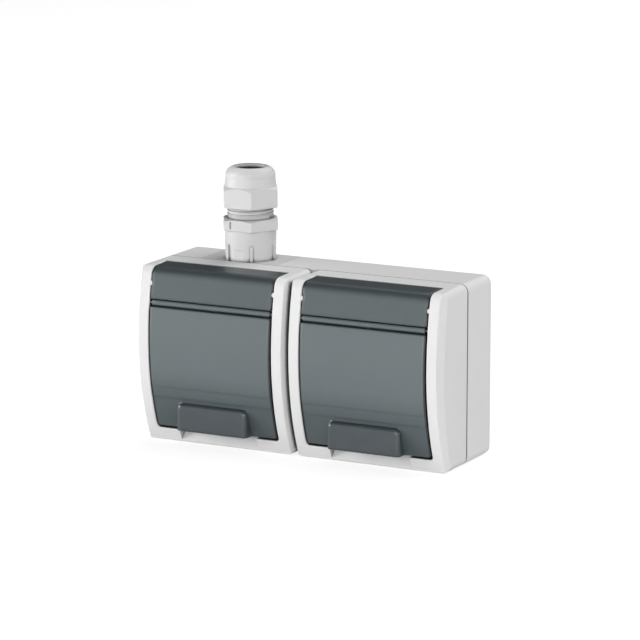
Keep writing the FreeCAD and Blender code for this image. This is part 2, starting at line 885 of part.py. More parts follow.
# Pin, spring and lid seal
def hinge_pin():
    half = opening_half + well_wall + pin_beyond_wall
    start = Vector(-half, -hinge_depth, hinge_height)
    return Part.makeCylinder(pin_radius, 2 * half, start, Vector(1, 0, 0))


def spring_mean_radius():
    return pin_radius + spring_clearance + spring_wire_radius


def spring_outer_radius():
    return spring_mean_radius() + spring_wire_radius


def spring_lid_leg_place():
    """X and depth of the leg that stands in the lid's hole."""
    return spring_turns * spring_pitch / 2, hinge_depth - spring_mean_radius()


def lid_spring():
    """Torsion spring round the pin: one leg on the cover's step, one in the lid."""
    mean = spring_mean_radius()
    length = spring_turns * spring_pitch
    turns = spring_turns + 0.75
    coil = Part.makeHelix(length / turns, length, mean)
    coil.rotate(Vector(0, 0, 0), Vector(0, 1, 0), 90)
    coil = coil.mirror(Vector(0, 0, 0), Vector(0, 1, 0))
    coil.translate(Vector(-length / 2, -hinge_depth, hinge_height))
    ends = sorted(coil.Vertexes, key=lambda v: v.X)
    first, last = ends[0].Point, ends[-1].Point
    lean = math.atan2(length / turns, 2 * math.pi * mean)
    along_fixed = Vector(math.sin(lean), -math.cos(lean), 0)
    along_lid = Vector(math.sin(lean), 0, -math.cos(lean))
    fixed_end = first - along_fixed * spring_leg_fixed
    legs = [Part.makeLine(fixed_end, first), Part.makeLine(last, last + along_lid * spring_leg_lid)]
    path = Part.Wire(Part.__sortEdges__([legs[0]] + coil.Edges + [legs[1]]))
    profile = Part.Wire(Part.makeCircle(spring_wire_radius, fixed_end, along_fixed))
    return path.makePipeShell([profile], True, True)


def lid_seal():
    """Rubber ring with a groove that grips the lid's round wall."""
    inner = lid_ring_radius - lid_ring_wall / 2
    outer = lid_ring_radius + lid_ring_wall / 2
    low = lid_seal_front
    high = lid_ring_end + lid_seal_grip
    profile = [
        (inner - lid_seal_wall, low),
        (outer + lid_seal_wall, low),
        (outer + lid_seal_wall, high),
        (outer, high),
        (outer, lid_ring_end),
        (inner, lid_ring_end),
        (inner, high),
        (inner - lid_seal_wall, high),
    ]
    return turned(profile, Vector(0, 0, socket_height), Vector(0, -1, 0))


# Socket insert
def earth_slots(clearance):
    """The two slots in the recess floor that the earth contacts come through."""
    half = earth_width / 2 + clearance
    slots = []
    for side in (-1, 1):
        outer = socket_height + side * (earth_reach + clearance)
        inner = socket_height + side * (earth_reach - earth_thickness - clearance)
        heights = (min(outer, inner), max(outer, inner))
        slots.append(block(-half, half, face_back - 1, recess_floor + 1, *heights))
    return slots


def socket_face():
    flange_front_depth = deck_back - face_gap
    profile = [
        (0, face_back),
        (face_radius, face_back),
        (face_radius, flange_front_depth - face_flange),
        (face_flange_radius, flange_front_depth - face_flange),
        (face_flange_radius, flange_front_depth),
        (face_radius, flange_front_depth),
        (face_radius, face_front - face_edge),
        (face_radius - face_edge, face_front),
        (recess_radius + face_edge, face_front),
        (recess_radius, face_front - face_edge),
        (recess_radius, recess_floor),
        (centre_boss_radius, recess_floor),
        (centre_boss_radius, recess_floor + centre_boss_rise),
        (0, recess_floor + centre_boss_rise),
    ]
    face = turned(profile, Vector(0, 0, socket_height), Vector(0, -1, 0))
    guides = []
    for side in (-1, 1):
        far = side * (recess_radius + face_wall / 2)
        near = side * (recess_radius - guide_reach)
        guides.append(
            block(
                min(far, near),
                max(far, near),
                recess_floor - 1,
                face_front - guide_setback,
                socket_height - guide_width / 2,
                socket_height + guide_width / 2,
            )
        )
    cuts = earth_slots(0.3)
    cuts.append(rod(0, socket_height, screw_clearance_radius, face_back - 1, face_front))
    for side in (-1, 1):
        cuts.append(rod(side * pin_spacing / 2, socket_height, pin_hole_radius, face_back - 1, face_front))
    return face.fuse(guides).cut(cuts).removeSplitter()


def terminal_depths():
    """Depths of a line or neutral terminal's block, from back to front."""
    low = pocket_back + contact_wall
    return low, low + terminal_length


def earth_terminal_front():
    return base_front - earth_setback - earth_thickness


def socket_base():
    half = base_width / 2
    low = socket_height - base_tall / 2
    high = socket_height + base_tall / 2
    base = rounded_plate(half, low, high, base_corner, base_back, base_front)
    pocket = contact_bore + contact_wall + contact_clearance
    room = terminal_size / 2 + contact_clearance
    cuts = [rod(0, socket_height, screw_pilot_radius, base_back + 1, base_front + 1)]
    for side in (-1, 1):
        x = side * pin_spacing / 2
        cuts.append(rod(x, socket_height, pocket, pocket_back, base_front + 1))
        outer = side * (half + 1)
        inner = side * (terminal_x - room)
        cuts.append(
            block(
                min(outer, inner),
                max(outer, inner),
                pocket_back,
                base_front + 1,
                socket_height - room,
                socket_height + room,
            )
        )
        channel = (socket_height - contact_bore, socket_height + contact_bore)
        cuts.append(block(min(x, inner), max(x, inner), pocket_back, terminal_depths()[1], *channel))
    groove = earth_width / 2 + contact_clearance
    cuts.append(block(-groove, groove, earth_terminal_front(), base_front + 1, low - 1, high + 1))
    earth_z = socket_height + earth_terminal_z
    earth_back = earth_terminal_front() - terminal_length - contact_clearance
    cuts.append(block(-room, room, earth_back, base_front + 1, earth_z - room, high + 1))
    for x, z in base_screw_places():
        cuts.append(rod(x, z, screw_clearance_radius, base_back - 1, base_front + 1))
        cuts.append(rod(x, z, screw_head_radius + 0.3, base_screw_head_depth, base_front + 1))
    return base.cut(cuts).removeSplitter()


def pin_contact(side):
    """Slotted brass sleeve for one plug pin, joined by a strip to its terminal."""
    x = side * pin_spacing / 2
    low, high = terminal_depths()
    outer = contact_bore + contact_wall
    sleeve = rod(x, socket_height, outer, pocket_back + 0.1, low + contact_length)
    strip_far = side * (terminal_x + terminal_size / 2)
    strip = block(
        min(x, strip_far),
        max(x, strip_far),
        pocket_back + 0.1,
        low,
        socket_height - contact_bore + 0.2,
        socket_height + contact_bore - 0.2,
    )
    centre = side * terminal_x
    half = terminal_size / 2
    cage = block(centre - half, centre + half, low, high, socket_height - half, socket_height + half)
    contact = sleeve.fuse([strip, cage])
    wire_depth = low + terminal_wire_radius + 1
    wire_start = Vector(centre - terminal_size, -wire_depth, socket_height)
    wire = Part.makeCylinder(terminal_wire_radius, 2 * terminal_size, wire_start, Vector(1, 0, 0))
    slot_half = contact_slot / 2
    slot_heights = (socket_height - outer - 1, socket_height + outer + 1)
    slot = block(x - slot_half, x + slot_half, low + 2, base_front, *slot_heights)
    bore = rod(x, socket_height, contact_bore, low, base_front)
    pilot = rod(centre, socket_height, terminal_screw_radius, high - terminal_screw_length + 0.5, high + 1)
    keep = block(centre - half, centre + half, low, high, 0, box_height)
    return contact.cut([slot, bore, pilot, wire.common(keep)]).removeSplitter()


def earth_clip():
    """Earth contact: a strip across the base, two sprung arms in the recess and a terminal."""
    back = earth_terminal_front()
    front = back + earth_thickness
    half = earth_width / 2
    strip = block(-half, half, back, front, socket_height - earth_reach, socket_height + earth_reach)
    outline = [
        (back, earth_reach),
        (recess_floor + 1, earth_reach),
        (earth_bow_depth, earth_reach - earth_bow),
        (earth_end_depth, earth_reach - earth_thickness / 2),
        (earth_end_depth, earth_reach - 1.5 * earth_thickness),
        (earth_bow_depth, earth_reach - earth_bow - earth_thickness),
        (recess_floor + 1, earth_reach - earth_thickness),
        (back, earth_reach - earth_thickness),
    ]
    arms = []
    for side in (-1, 1):
        points = [Vector(-half, -d, socket_height + side * r) for d, r in outline]
        arms.append(polygon(points).extrude(Vector(earth_width, 0, 0)))
    z = socket_height + earth_terminal_z
    size = terminal_size / 2
    cage = block(-size, size, back - terminal_length, back, z - size, z + size)
    clip = strip.fuse(arms + [cage])
    wire_depth = back - terminal_length + terminal_wire_radius + 1
    wire = Part.makeCylinder(terminal_wire_radius, terminal_size, Vector(0, -wire_depth, z), Vector(0, 0, 1))
    pilot = rod(0, z, terminal_screw_radius, front - terminal_screw_length + 0.5, front + 1)
    hole = rod(0, socket_height, screw_clearance_radius, back - 1, front + 1)
    return clip.cut([wire, pilot, hole]).removeSplitter()


# Fasteners
def screw(x, height, under_head, radius, head_radius, length):
    """Slotted pan-head screw that points at the wall."""
    head = rod(x, height, head_radius, under_head, under_head + screw_head_height)
    shank = rod(x, height, radius, under_head - length, under_head)
    slot = block(
        x - head_radius - 1,
        x + head_radius + 1,
        under_head + screw_head_height - screw_slot_depth,
        under_head + screw_head_height + 1,
        height - screw_slot / 2,
        height + screw_slot / 2,
    )
    return head.fuse(shank).cut(slot).removeSplitter()


def cover_screws():
    return Part.makeCompound(
        [
            screw(x, z, deck_front, screw_radius, screw_head_radius, cover_screw_length)
            for x, z in cover_screw_places()
        ]
    )


def base_screws():
    return Part.makeCompound(
        [
            screw(x, z, base_screw_head_depth, screw_radius, screw_head_radius, base_screw_length)
            for x, z in base_screw_places()
        ]
    )


def centre_screw():
    under = recess_floor + centre_boss_rise
    return screw(0, socket_height, under, screw_radius, screw_head_radius, centre_screw_length)


def terminal_screws():
    radius = terminal_screw_radius - 0.05
    front = terminal_depths()[1]
    length = terminal_screw_length - 1
    places = [(side * terminal_x, socket_height, front) for side in (-1, 1)]
    places.append((0, socket_height + earth_terminal_z, earth_terminal_front() + earth_thickness))
    screws = [screw(x, z, depth, radius, terminal_screw_head, length) for x, z, depth in places]
    return Part.makeCompound(screws)


def export(name, shape):
    shape = shape.translated(Vector(0, 0, -box_height / 2))
    shape.exportStep(f"parts/{name}.step")
    solids = shape.Solids
    volume = sum(s.Volume for s in solids)
    print(f"{name}: {len(solids)} solid(s), {volume / 1000:.2f} cm3, valid {shape.isValid()}")


def main():
    os.makedirs("parts", exist_ok=True)
    export("back_box", back_box())
    export("entry_insert", entry_insert())
    export("gland_body", gland_body())
    export("gland_washer", gland_washer())
    export("gland_seal", gland_seal())
    export("gland_nut", gland_nut())
    per_unit = {
        "cover_frame": cover_frame(),
        "box_seal": box_seal(),
        "hinge_cover": hinge_cover(),
        "lid": lid(),
        "hinge_pin": hinge_pin(),
        "lid_spring": lid_spring(),
        "lid_seal": lid_seal(),
        "socket_face": socket_face(),
        "socket_base": socket_base(),
        "line_contact": pin_contact(1),
        "neutral_contact": pin_contact(-1),
        "earth_clip": earth_clip(),
        "terminal_screws": terminal_screws(),
        "centre_screw": centre_screw(),
        "base_screws": base_screws(),
        "cover_screws": cover_screws(),
    }
    for name, shape in per_unit.items():
        for side, place in (("left", -1), ("right", 1)):
            export(f"{side}_{name}", shape.translated(Vector(place * unit_offset, 0, 0)))


main()
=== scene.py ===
# %% [markdown]
# A two-gang outdoor socket: a light grey box on the wall, two bowed covers with dark sprung lids,
# and a cable gland on top. The solids come from the construction model, so this lesson is about
# finish: how moulded plastic, rubber, brass and plated steel catch the light, and the few turned
# details that are easier to make as a mesh.

# %% Load the construction model
import bpy
import math
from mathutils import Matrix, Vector


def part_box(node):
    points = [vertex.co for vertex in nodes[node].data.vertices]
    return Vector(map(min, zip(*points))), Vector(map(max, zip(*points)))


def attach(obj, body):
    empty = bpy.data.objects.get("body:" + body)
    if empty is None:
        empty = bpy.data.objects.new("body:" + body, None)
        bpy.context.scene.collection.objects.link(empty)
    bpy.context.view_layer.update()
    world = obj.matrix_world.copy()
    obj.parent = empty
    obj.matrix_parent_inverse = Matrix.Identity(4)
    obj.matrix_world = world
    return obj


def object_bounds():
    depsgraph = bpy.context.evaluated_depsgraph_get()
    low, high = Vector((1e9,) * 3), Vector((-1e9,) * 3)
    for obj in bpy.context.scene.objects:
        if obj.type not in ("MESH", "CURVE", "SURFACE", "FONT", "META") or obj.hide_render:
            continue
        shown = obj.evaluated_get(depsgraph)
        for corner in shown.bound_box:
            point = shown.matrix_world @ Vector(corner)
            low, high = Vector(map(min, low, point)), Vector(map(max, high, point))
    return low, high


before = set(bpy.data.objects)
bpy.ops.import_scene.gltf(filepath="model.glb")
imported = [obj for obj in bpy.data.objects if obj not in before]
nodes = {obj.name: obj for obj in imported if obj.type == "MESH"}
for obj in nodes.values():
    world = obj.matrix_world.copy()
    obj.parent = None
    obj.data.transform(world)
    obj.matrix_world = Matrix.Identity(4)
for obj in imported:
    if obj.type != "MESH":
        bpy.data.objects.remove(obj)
cad_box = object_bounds()

# %% [markdown]
# Operators act on everything that is selected, and the loaded pieces all are. So each step starts
# from an empty selection.

# %% Selection helper
def start_fresh():
    if bpy.context.object and bpy.context.object.mode == "EDIT":
        bpy.ops.object.mode_set(mode="OBJECT")
    bpy.ops.object.select_all(action="DESELECT")


# %% [markdown]
# The photograph was taken from the right and a little above, with a long lens, so upright lines
# stay upright and the far side is hardly smaller than the near one. A long lens far away gives
# the same.

# %% Camera
azimuth = math.radians(27.26)
elevation = math.radians(11.85)
look_at = Vector((0.005466, -0.028, 0.018784))
camera_distance = 1.60125
towards_camera = Vector(
    (
        math.sin(azimuth) * math.cos(elevation),
        -math.cos(azimuth) * math.cos(elevation),
        math.sin(elevation),
    )
)
start_fresh()
bpy.ops.object.camera_add(location=look_at + towards_camera * camera_distance)
camera = bpy.context.object
camera.rotation_mode = "QUATERNION"
camera.rotation_quaternion = (-towards_camera).to_track_quat("-Z", "Y")
camera.data.lens = 205.2
camera.data.sensor_width = 36.0
camera.data.clip_start = 0.05
camera.data.clip_end = 20.0
bpy.context.scene.camera = camera
print("camera at", [round(v, 3) for v in camera.location])

# %% [markdown]
# Shader sums read best as plain arithmetic. A small class wraps a node's output, and an
# expression such as 0.4 + 0.1 * cloud then adds the Math nodes that it needs.

# %% Shader arithmetic
class Value:
    def __init__(self, finish, socket):
        self.finish = finish
        self.socket = socket

    def maths(self, operation, first, second):
        made = self.finish.node("ShaderNodeMath", {"operation": operation}, [first, second])
        return made.out("Value")

    def __add__(self, other):
        return self.maths("ADD", self, other)

    def __radd__(self, other):
        return self.maths("ADD", other, self)

    def __sub__(self, other):
        return self.maths("SUBTRACT", self, other)

    def __rsub__(self, other):
        return self.maths("SUBTRACT", other, self)

    def __mul__(self, other):
        return self.maths("MULTIPLY", self, other)

    def __rmul__(self, other):
        return self.maths("MULTIPLY", other, self)

    def __abs__(self):
        return self.maths("ABSOLUTE", self, 0.0)


class Made:
    """A node that has been added, with its outputs by name."""

    def __init__(self, finish, node):
        self.finish = finish
        self.node = node

    def out(self, name):
        return Value(self.finish, self.node.outputs[name])


class Finish:
    """A material with one main shader, built node by node."""

    def __init__(self, name, roughness=0.5, metallic=0.0, specular=0.5):
        self.material = bpy.data.materials.new(name)
        self.material.use_nodes = True
        self.tree = self.material.node_tree
        self.tree.nodes.clear()
        self.shader = self.tree.nodes.new("ShaderNodeBsdfPrincipled")
        self.output = self.tree.nodes.new("ShaderNodeOutputMaterial")
        self.tree.links.new(self.shader.outputs["BSDF"], self.output.inputs["Surface"])
        self.shader.inputs["Roughness"].default_value = roughness
        self.shader.inputs["Metallic"].default_value = metallic
        self.shader.inputs["Specular IOR Level"].default_value = specular

    def node(self, kind, settings=None, inputs=()):
        made = self.tree.nodes.new(kind)
        for name, value in (settings or {}).items():
            setattr(made, name, value)
        pairs = inputs.items() if isinstance(inputs, dict) else enumerate(inputs)
        for key, value in pairs:
            self.feed(made.inputs[key], value)
        return Made(self, made)

    def feed(self, socket, value):
        if isinstance(value, Value):
            self.tree.links.new(value.socket, socket)
        else:
            socket.default_value = value

    def place(self):
        return self.node("ShaderNodeTexCoord").out("Object")

    def noise(self, scale, detail=2.0, roughness=0.5):
        inputs = {"Vector": self.place(), "Scale": scale, "Detail": detail, "Roughness": roughness}
        return self.node("ShaderNodeTexNoise", {}, inputs).out("Fac")

    def blend(self, factor, first, second):
        """From the first colour to the second as factor goes from 0 to 1."""
        mix = self.node("ShaderNodeMix", {"data_type": "RGBA"})
        self.feed(mix.node.inputs[0], factor)
        self.feed(mix.node.inputs[6], first if isinstance(first, Value) else (*first, 1.0))
        self.feed(mix.node.inputs[7], second if isinstance(second, Value) else (*second, 1.0))
        return Value(self, mix.node.outputs[2])

    def colour(self, value):
        self.feed(self.shader.inputs["Base Color"], value)

    def gap_shade_free(self, reach, dark, light):
        """0 in a narrow gap and 1 on a surface that stands free, looking as far as reach.

        The foot of the object counts as free, because the floor under it is no gap. Where this is
        low, painted shade darkens the colour.
        """
        inputs = {"Distance": reach}
        seen = self.node("ShaderNodeAmbientOcclusion", {"samples": 8}, inputs).out("AO")
        inputs = [seen, dark, light, 0.0, 1.0]
        settings = {"interpolation_type": "SMOOTHSTEP"}
        open_here = self.node("ShaderNodeMapRange", settings, inputs).out("Result")
        height = self.node("ShaderNodeSeparateXYZ", {}, [self.place()]).out("Z")
        at_foot = 1.0 - self.over(height, cad_box[0].z + reach, reach)
        return open_here.maths("MAXIMUM", open_here, at_foot)

    def over(self, value, edge, soft):
        """0 where value is under the edge, 1 where it is over, and a soft step between."""
        wide = soft / 2
        inputs = [value, edge - wide, edge + wide, 0.0, 1.0]
        return self.node("ShaderNodeMapRange", {}, inputs).out("Result")

    def roughness(self, value):
        self.feed(self.shader.inputs["Roughness"], value)

    def bump(self, height, distance, strength, soft_edge=0.0):
        inputs = {"Height": height, "Distance": distance, "Strength": strength}
        if soft_edge:
            edge = self.node("ShaderNodeBevel", {"samples": 6}, {"Radius": soft_edge})
            inputs["Normal"] = edge.out("Normal")
        made = self.node("ShaderNodeBump", {}, inputs)
        self.feed(self.shader.inputs["Normal"], made.out("Normal"))


print("shader helpers ready")

# %% [markdown]
# Moulded housing plastic is never quite even. The tool's spark-eroded surface leaves a fine grain,
# the melt cools a little differently across a face, and no moulded edge is sharp. So the finish
# has a fine bump, a slow drift in tone and gloss, and a rounded edge in the shading. Narrow gaps
# and creases are painted dark as painted shade.

# %% Light grey housing plastic
# Painted shade in narrow gaps: how far the mask looks, and where it turns from dark to plain.
gap_reach = 0.0026
gap_dark = 0.30
gap_light = 0.82
moulded_edge = 0.0004


def moulded_plastic(name, low, high, gap_shade_tone, matt, matt_drift, grain):
    finish = Finish(name, roughness=matt)
    drift = finish.noise(22.0, 3.0)
    cloud = finish.noise(160.0, 2.0)
    fine = finish.noise(1500.0, 2.0)
    coarse = finish.noise(480.0, 1.0)
    plain = finish.blend(0.6 * drift + 0.4 * cloud, low, high)
    # Painted shade: the colour turns to the gap tone in narrow gaps.
    gap_shade_free = finish.gap_shade_free(gap_reach, gap_dark, gap_light)
    finish.colour(finish.blend(gap_shade_free, gap_shade_tone, plain))
    finish.roughness(matt - matt_drift / 2 + matt_drift * cloud)
    finish.bump(0.7 * fine + 0.3 * coarse, grain, 0.5, moulded_edge)
    return finish.material


# Each gap tone below is the colour of painted shade in narrow gaps.
housing_plastic = moulded_plastic(
    "light_grey_housing",
    low=(0.670, 0.670, 0.667),
    high=(0.705, 0.705, 0.702),
    gap_shade_tone=(0.03, 0.03, 0.03),
    matt=0.50,
    matt_drift=0.08,
    grain=0.00003,
)
gland_plastic = moulded_plastic(
    "light_grey_gland",
    low=(0.565, 0.565, 0.565),
    high=(0.605, 0.605, 0.605),
    gap_shade_tone=(0.05, 0.05, 0.05),
    matt=0.50,
    matt_drift=0.10,
    grain=0.00002,
)
insert_plastic = moulded_plastic(
    "pale_socket_face",
    low=(0.66, 0.66, 0.65),
    high=(0.70, 0.70, 0.69),
    gap_shade_tone=(0.40, 0.40, 0.39),
    matt=0.28,
    matt_drift=0.06,
    grain=0.00001,
)
base_plastic = moulded_plastic(
    "grey_socket_base",
    low=(0.36, 0.36, 0.35),
    high=(0.42, 0.42, 0.41),
    gap_shade_tone=(0.06, 0.06, 0.06),
    matt=0.55,
    matt_drift=0.10,
    grain=0.00004,
)
light_plastics = (housing_plastic, gland_plastic, insert_plastic, base_plastic)
print("plastics:", [plastic.name for plastic in light_plastics])

# %% [markdown]
# The lids and the panels above them are a dark blue-grey plastic with a satin surface. Their
# turned-in rim at each side is painted darker, as painted shade. The upper part of the lid is
# painted paler, as a painted highlight, and it is a little more matt there. The pull is painted
# darker, and the panel's crown is painted darker too, as a painted dark reflection. Narrow gaps
# get painted shade. These zones follow the moulding, so they are found from the place on the
# piece.

# %% Dark satin plastic
gang_offset = (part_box("right_lid")[0].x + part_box("right_lid")[1].x) / 2
lid_half_width = (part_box("right_lid")[1].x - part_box("right_lid")[0].x) / 2
shaded_rim_width = 0.0007
shaded_rim_fade = 0.0003
# Where the lid's upper zone begins: painted highlight in its colour, a little more matt.
upper_zone_edge = -0.0125
upper_zone_fade = 0.013
pull_top = -0.0199
pull_root = 0.0487
pull_slope = 0.32
pull_fade = 0.0002
panel_crown = 0.0368
crown_reflection_fade = 0.0035
crown_reflection_share = 0.75
soft_edge = 0.0016
# Painted shade on the side rims of lids and panels.
rim_shade_tone = (0.010, 0.013, 0.016)
# Painted dark reflection on the panel's crown.
crown_reflection_tone = (0.016, 0.024, 0.028)
# Painted shade in narrow gaps beside the dark pieces.
dark_gap_shade_tone = (0.004, 0.005, 0.007)


def dark_plastic(name, low, high, lid_zones):
    finish = Finish(name, specular=0.85)
    place = finish.node("ShaderNodeSeparateXYZ", {}, [finish.place()])
    drift = finish.noise(30.0, 3.0)
    cloud = finish.noise(190.0, 2.0)
    fine = finish.noise(1500.0, 2.0)
    coarse = finish.noise(420.0, 1.0)
    patches = 0.6 * drift + 0.4 * cloud
    tone = finish.blend(patches, low, high)
    height = place.out("Z")
    # Painted dark reflection: high up, on the panel's crown, the tone is painted darker.
    crown_reflection = crown_reflection_share * finish.over(height, panel_crown, crown_reflection_fade)
    tone = finish.blend(crown_reflection, tone, crown_reflection_tone)
    matt = 0.38 + 0.04 * cloud
    if lid_zones:
        root = pull_root + pull_slope * (height - pull_top)
        # Painted highlight: the upper part of the lid is painted paler, and it is a little more
        # matt.
        upper = finish.over(height, upper_zone_edge, upper_zone_fade)
        below = 1.0 - finish.over(height, pull_top, pull_fade)
        # The pull is painted darker.
        pull = finish.over(0 - place.out("Y"), root, pull_fade) * below
        painted_highlight_tone = finish.blend(patches, (0.088, 0.112, 0.118), (0.106, 0.132, 0.139))
        pull_tone = finish.blend(cloud, (0.035, 0.046, 0.053), (0.045, 0.058, 0.066))
        tone = finish.blend(pull, finish.blend(upper, tone, painted_highlight_tone), pull_tone)
        matt = matt - 0.04 + 0.03 * upper
    # Painted shade: the outer edge of each lid and panel at each side is painted darker.
    sideways = abs(abs(place.out("X")) - gang_offset)
    rim_shade = finish.over(sideways, lid_half_width - shaded_rim_width, shaded_rim_fade)
    tone = finish.blend(rim_shade, tone, rim_shade_tone)
    # Painted shade: the colour turns to the dark gap tone in narrow gaps.
    gap_shade_free = finish.gap_shade_free(gap_reach, gap_dark, gap_light)
    finish.colour(finish.blend(gap_shade_free, dark_gap_shade_tone, tone))
    finish.roughness(matt)
    finish.bump(0.6 * fine + 0.4 * coarse, 0.00003, 0.5, soft_edge)
    return finish.material


panel_plastic = dark_plastic("dark_panel", (0.055, 0.074, 0.079), (0.069, 0.090, 0.096), False)
lid_plastic = dark_plastic("dark_lid", (0.052, 0.071, 0.076), (0.066, 0.087, 0.093), True)
print("dark plastics:", panel_plastic.name, lid_plastic.name)

# %% [markdown]
# Rubber seals are nearly black and matt, with a faint bloom where they have been handled. The
# bloom is a second, greyer tone laid over the first by a patchy noise.

# %% Seal rubber
def seal_rubber():
    finish = Finish("seal_rubber", roughness=0.75, specular=0.3)
    bloom = finish.noise(260.0, 4.0, 0.65)
    finish.colour(finish.blend(bloom, (0.012, 0.012, 0.013), (0.035, 0.035, 0.036)))
    finish.roughness(0.65 + 0.2 * bloom)
    finish.bump(finish.noise(2200.0, 2.0), 0.00002, 0.4)
    return finish.material


rubber = seal_rubber()
print("rubber:", rubber.name)

# %% [markdown]
# The contacts are stamped from brass strip and the screws are zinc plated. Both are metals with a
# direction in them: rolled strip shows faint lines along its length, and so does drawn wire.

# %% Brass and plated steel
def drawn_metal(name, low, high, matt, lines):
    finish = Finish(name, roughness=matt, metallic=1.0)
    inputs = {"Vector": finish.place(), "Scale": lines}
    stretched = finish.node("ShaderNodeMapping", {}, inputs).out("Vector")
    inputs = {"Vector": stretched, "Scale": 900.0, "Detail": 3.0}
    streaks = finish.node("ShaderNodeTexNoise", {}, inputs).out("Fac")
    stain = finish.noise(180.0, 3.0)
    finish.colour(finish.blend(stain, low, high))
    finish.roughness(matt - 0.06 + 0.16 * streaks)
    finish.bump(streaks, 0.00001, 0.3)
    return finish.material


brass = drawn_metal(
    "rolled_brass",
    low=(0.60, 0.41, 0.15),
    high=(0.72, 0.52, 0.22),
    matt=0.28,
    lines=(1.0, 0.1, 1.0),
)
steel = drawn_metal(
    "zinc_plated_steel",
    low=(0.50, 0.51, 0.53),
    high=(0.62, 0.63, 0.64),
    matt=0.30,
    lines=(0.1, 1.0, 1.0),
)
print("metals:", brass.name, steel.name)

# %% [markdown]
# Every loaded piece gets its finish by what it is on the real object. Assigning to the material
# slot leaves the mesh as it is.

# %% Give each piece its finish
finish_words = {
    "seal": rubber,
    "washer": rubber,
    "contact": brass,
    "earth_clip": brass,
    "screw": steel,
    "pin": steel,
    "spring": steel,
    "gland_body": gland_plastic,
    "entry_insert": gland_plastic,
    "gland_nut": gland_plastic,
    "socket_face": insert_plastic,
    "socket_base": base_plastic,
    "hinge_cover": panel_plastic,
    "_lid": lid_plastic,
}


def finish_for(name):
    for word, material in finish_words.items():
        if word in name:
            return material
    return housing_plastic


for name, piece in nodes.items():
    for slot in piece.material_slots:
        slot.material = finish_for(name)
print("finished:", len(nodes), "pieces")

# %% [markdown]
# Between the gland's hexagon and its nut a little of the thread shows. A thread is one small
# trapezium swept round the axis while it climbs, which is what the Screw modifier does. Its two
# open ends are then filled.

# %% Gland thread
gland_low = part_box("gland_body")[0]
gland_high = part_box("gland_body")[1]
nut_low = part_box("gland_nut")[0]
gland_x = (gland_low.x + gland_high.x) / 2
gland_y = (gland_low.y + gland_high.y) / 2
thread_pitch = 0.0015
thread_root = 0.0099
thread_crest = 0.0104
thread_space = 0.0051
thread_margin = 0.0008
thread_start = nut_low.z - thread_space + thread_margin
thread_rise = thread_space - 2 * thread_margin
half_root = 0.0005
crest_share = 0.35
thread_steps = 150

start_fresh()
bpy.ops.mesh.primitive_plane_add(
    size=2 * half_root, location=(gland_x, gland_y, thread_start), rotation=(math.pi / 2, 0, 0)
)
thread = bpy.context.object
thread.name = "gland_thread"
bpy.ops.object.transform_apply(location=False, rotation=True, scale=False)
bpy.ops.object.mode_set(mode="EDIT")
bpy.ops.mesh.select_all(action="SELECT")
bpy.ops.transform.resize(
    value=((thread_crest - thread_root) / (2 * half_root), 1, 1), center_override=thread.location
)
bpy.ops.transform.translate(value=((thread_root + thread_crest) / 2, 0, 0))
bpy.ops.object.mode_set(mode="OBJECT")
for vertex in thread.data.vertices:
    vertex.select = vertex.co.x > (thread_root + thread_crest) / 2
bpy.ops.object.mode_set(mode="EDIT")
bpy.ops.transform.resize(value=(1, 1, crest_share), center_override=thread.location)
bpy.ops.mesh.select_all(action="SELECT")
bpy.ops.mesh.delete(type="ONLY_FACE")
bpy.ops.object.mode_set(mode="OBJECT")
sweep = thread.modifiers.new("sweep", "SCREW")
sweep.angle = 2 * math.pi * thread_rise / thread_pitch
sweep.screw_offset = thread_rise
sweep.steps = thread_steps
sweep.render_steps = thread_steps
sweep.use_merge_vertices = False
bpy.ops.object.modifier_apply(modifier="sweep")
bpy.ops.object.mode_set(mode="EDIT")
bpy.ops.mesh.select_all(action="SELECT")
bpy.ops.mesh.fill_holes(sides=0)
bpy.ops.mesh.select_all(action="SELECT")
bpy.ops.mesh.normals_make_consistent(inside=False)
bpy.ops.object.mode_set(mode="OBJECT")
bpy.ops.object.transform_apply(location=True, rotation=True, scale=True)
bpy.ops.object.shade_smooth_by_angle(angle=math.radians(35))
thread.data.materials.append(gland_plastic)
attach(thread, "housing")
print("thread turns:", round(thread_rise / thread_pitch, 2), "faces:", len(thread.data.polygons))

# %% [markdown]
# Looking into the gland's mouth, one sees the rubber that grips the cable: a soft lip that stands
# up inside the nut with a small funnel. A lip is a turned shape, so its outline is spun round the
# axis.

# %% Lip of the cable seal
seal_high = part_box("gland_seal")[1].z
nut_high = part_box("gland_nut")[1].z
lip_outer = 0.0062
lip_inner = 0.0050
lip_overlap = 0.0002
lip_sink = 0.0013
funnel_width = 0.0007
funnel_depth = 0.0011
lip_taper = 0.0006
lip_low = seal_high - lip_overlap
lip_high = nut_high - lip_sink
lip_outline = [
    (lip_inner, lip_low),
    (lip_inner, lip_high - funnel_depth),
    (lip_inner + funnel_width, lip_high),
    (lip_outer - 0.0003, lip_high),
    (lip_outer, lip_high - 0.0004),
    (lip_outer - lip_taper, lip_low),
]


def spun_ring(name, outline, centre_x, centre_y, steps):
    """A closed outline of (radius, height) points turned once round an upright axis."""
    start_fresh()
    bpy.ops.mesh.primitive_circle_add(vertices=len(outline), radius=0.001, location=(0, 0, 0))
    ring = bpy.context.object
    ring.name = name
    for vertex, (radius, height) in zip(ring.data.vertices, outline):
        vertex.co = (centre_x + radius, centre_y, height)
    bpy.ops.object.mode_set(mode="EDIT")
    bpy.ops.mesh.select_all(action="SELECT")
    bpy.ops.mesh.spin(
        steps=steps, angle=2 * math.pi, center=(centre_x, centre_y, 0), axis=(0, 0, 1)
    )
    bpy.ops.mesh.select_all(action="SELECT")
    bpy.ops.mesh.remove_doubles(threshold=0.000002)
    bpy.ops.mesh.normals_make_consistent(inside=False)
    bpy.ops.object.mode_set(mode="OBJECT")
    bpy.ops.object.shade_smooth_by_angle(angle=math.radians(35))
    return ring


